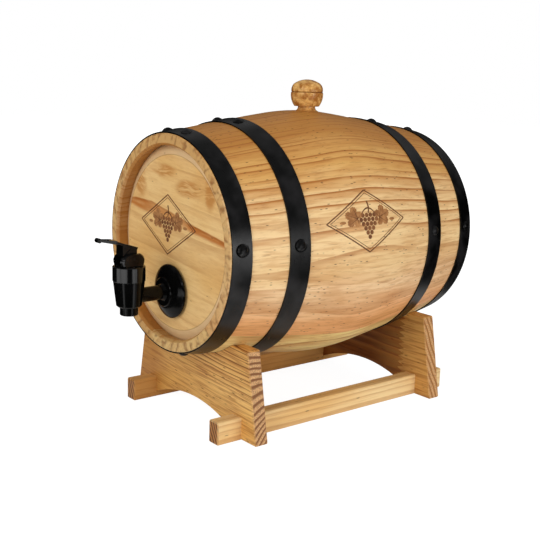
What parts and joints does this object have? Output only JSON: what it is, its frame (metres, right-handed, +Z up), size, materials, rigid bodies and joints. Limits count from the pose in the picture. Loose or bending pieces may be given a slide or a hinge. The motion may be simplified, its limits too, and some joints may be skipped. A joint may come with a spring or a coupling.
{
  "type": "oak cask liquor dispenser",
  "caption": "Small coopered oak cask on a two-board cradle stand, with black steel hoops, a turned bung on top and a lever tap in the front head.",
  "frame": {"origin": "middle of the bounding box, on the surface that the stand rests on", "axes": "+Z up, +Y along the cask's axis towards its rear head, so the tap points to -Y; X is across"},
  "size_m": [0.244, 0.38, 0.3249],
  "materials": {
    "stave_oak": "satin varnish",
    "head_oak": "satin varnish",
    "stand_oak": "satin varnish",
    "bung_wood": "satin varnish",
    "hoop_steel": "satin black paint",
    "nail_steel": "satin black paint",
    "tap_plastic": "moulded, half gloss",
    "collar_plastic": "polished",
    "seal_rubber": "matt silicone",
    "pin_steel": "drawn stainless wire"
  },
  "bodies": {
    "stand": {"cradle_board_front": "stand_oak", "cradle_board_rear": "stand_oak", "rail_left": "stand_oak", "rail_right": "stand_oak"},
    "cask": {"front_head_board_1": "head_oak", "front_head_board_2": "head_oak", "front_head_board_3": "head_oak", "hoop_front_head": "hoop_steel", "hoop_front_quarter": "hoop_steel", "hoop_rear_head": "hoop_steel", "hoop_rear_quarter": "hoop_steel", "nails_front_head": "nail_steel", "nails_front_quarter": "nail_steel", "nails_rear_head": "nail_steel", "nails_rear_quarter": "nail_steel", "rear_head_board_1": "head_oak", "rear_head_board_2": "head_oak", "rear_head_board_3": "head_oak", "stave_bottom": "stave_oak", "stave_bung": "stave_oak", "stave_left_1": "stave_oak", "stave_left_2": "stave_oak", "stave_left_3": "stave_oak", "stave_left_4": "stave_oak", "stave_left_5": "stave_oak", "stave_right_1": "stave_oak", "stave_right_2": "stave_oak", "stave_right_3": "stave_oak", "stave_right_4": "stave_oak", "stave_right_5": "stave_oak", "tap_body": "tap_plastic", "tap_bonnet": "tap_plastic", "tap_collar": "collar_plastic", "tap_escutcheon": "tap_plastic", "tap_gasket": "seal_rubber", "tap_nut": "tap_plastic", "tap_pivot_pin": "tap_plastic"},
    "bung": {"bung": "bung_wood"},
    "lever": {"tap_lever": "tap_plastic", "tap_crank_pin": "pin_steel"},
    "valve": {"tap_stem": "tap_plastic", "tap_seat_cup": "seal_rubber", "tap_spring": "pin_steel"}
  },
  "joints": [
    {"name": "cask_lift", "type": "slide", "parent": "stand", "child": "cask", "axis": [0, 0, 1], "range_m": [0, 0.12]},
    {"name": "bung_pull", "type": "slide", "parent": "cask", "child": "bung", "axis": [0, 0, 1], "range_m": [0, 0.06]},
    {"name": "tap_lever_press", "type": "hinge", "parent": "cask", "child": "lever", "pos_m": [0, -0.15713, 0.1637], "axis": [1, 0, 0], "range_deg": [0, 30], "stiffness_Nm_per_rad": 0.06, "springref_deg": -20.05},
    {"name": "valve_lift", "type": "slide", "parent": "cask", "child": "valve", "axis": [0, 0, 1], "range_m": [0, 0.0025], "deforming": ["tap_spring"]}
  ],
  "couplings": [
    {"joint": "valve_lift", "follows": "tap_lever_press", "m_per_rad": 0.004775}
  ]
}
